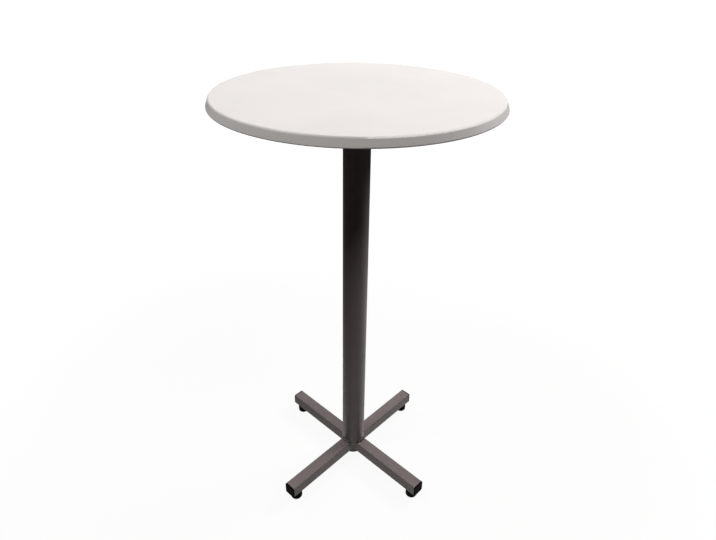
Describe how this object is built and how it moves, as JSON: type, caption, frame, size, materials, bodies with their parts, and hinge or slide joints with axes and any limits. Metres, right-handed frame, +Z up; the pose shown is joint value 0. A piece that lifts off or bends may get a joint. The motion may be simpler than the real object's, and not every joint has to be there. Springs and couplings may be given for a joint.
{
  "type": "pub table",
  "caption": "Bar-height round pub table: moulded white top on one round steel column with box-section legs in an X, black end caps and screw-in levelling feet.",
  "frame": {"origin": "on the floor, under the column's axis", "axes": "+Z up along the column, -Y to the front, the legs run out at 45 degrees between the X and Y axes"},
  "size_m": [0.6, 0.6, 1.035],
  "materials": {
    "top_white": "smooth satin",
    "frame_paint": "satin warm-grey powder coat",
    "black_plastic": "satin",
    "zinc_steel": "bright zinc",
    "brass": "plain"
  },
  "bodies": {
    "table": {"table_top": "top_white", "top_inserts": "brass", "top_plate": "frame_paint", "top_screws": "zinc_steel", "top_washers": "zinc_steel", "column_tube": "frame_paint", "column_top_weld": "frame_paint", "column_plug": "black_plastic", "leg_front_left": "frame_paint", "leg_front_right": "frame_paint", "leg_back_right": "frame_paint", "leg_back_left": "frame_paint", "leg_welds": "frame_paint", "end_cap_front_left": "black_plastic", "end_cap_front_right": "black_plastic", "end_cap_back_right": "black_plastic", "end_cap_back_left": "black_plastic", "foot_nuts": "zinc_steel"},
    "stud_front_left": {"foot_stud_front_left": "zinc_steel"},
    "pad_front_left": {"foot_pad_front_left": "black_plastic"},
    "stud_front_right": {"foot_stud_front_right": "zinc_steel"},
    "pad_front_right": {"foot_pad_front_right": "black_plastic"},
    "stud_back_right": {"foot_stud_back_right": "zinc_steel"},
    "pad_back_right": {"foot_pad_back_right": "black_plastic"},
    "stud_back_left": {"foot_stud_back_left": "zinc_steel"},
    "pad_back_left": {"foot_pad_back_left": "black_plastic"}
  },
  "joints": [
    {"name": "foot_travel_front_left", "type": "slide", "parent": "table", "child": "stud_front_left", "axis": [0, 0, -1], "range_m": [0, 0.015]},
    {"name": "foot_turn_front_left", "type": "hinge", "parent": "stud_front_left", "child": "pad_front_left", "pos_m": [-0.15344, -0.15344, 0], "axis": [0, 0, -1], "range_deg": [0, 4320]},
    {"name": "foot_travel_front_right", "type": "slide", "parent": "table", "child": "stud_front_right", "axis": [0, 0, -1], "range_m": [0, 0.015]},
    {"name": "foot_turn_front_right", "type": "hinge", "parent": "stud_front_right", "child": "pad_front_right", "pos_m": [0.15344, -0.15344, 0], "axis": [0, 0, -1], "range_deg": [0, 4320]},
    {"name": "foot_travel_back_right", "type": "slide", "parent": "table", "child": "stud_back_right", "axis": [0, 0, -1], "range_m": [0, 0.015]},
    {"name": "foot_turn_back_right", "type": "hinge", "parent": "stud_back_right", "child": "pad_back_right", "pos_m": [0.15344, 0.15344, 0], "axis": [0, 0, -1], "range_deg": [0, 4320]},
    {"name": "foot_travel_back_left", "type": "slide", "parent": "table", "child": "stud_back_left", "axis": [0, 0, -1], "range_m": [0, 0.015]},
    {"name": "foot_turn_back_left", "type": "hinge", "parent": "stud_back_left", "child": "pad_back_left", "pos_m": [-0.15344, 0.15344, 0], "axis": [0, 0, -1], "range_deg": [0, 4320]}
  ],
  "couplings": [
    {"joint": "foot_travel_front_left", "follows": "foot_turn_front_left", "m_per_rad": 0.00019894},
    {"joint": "foot_travel_front_right", "follows": "foot_turn_front_right", "m_per_rad": 0.00019894},
    {"joint": "foot_travel_back_right", "follows": "foot_turn_back_right", "m_per_rad": 0.00019894},
    {"joint": "foot_travel_back_left", "follows": "foot_turn_back_left", "m_per_rad": 0.00019894}
  ]
}
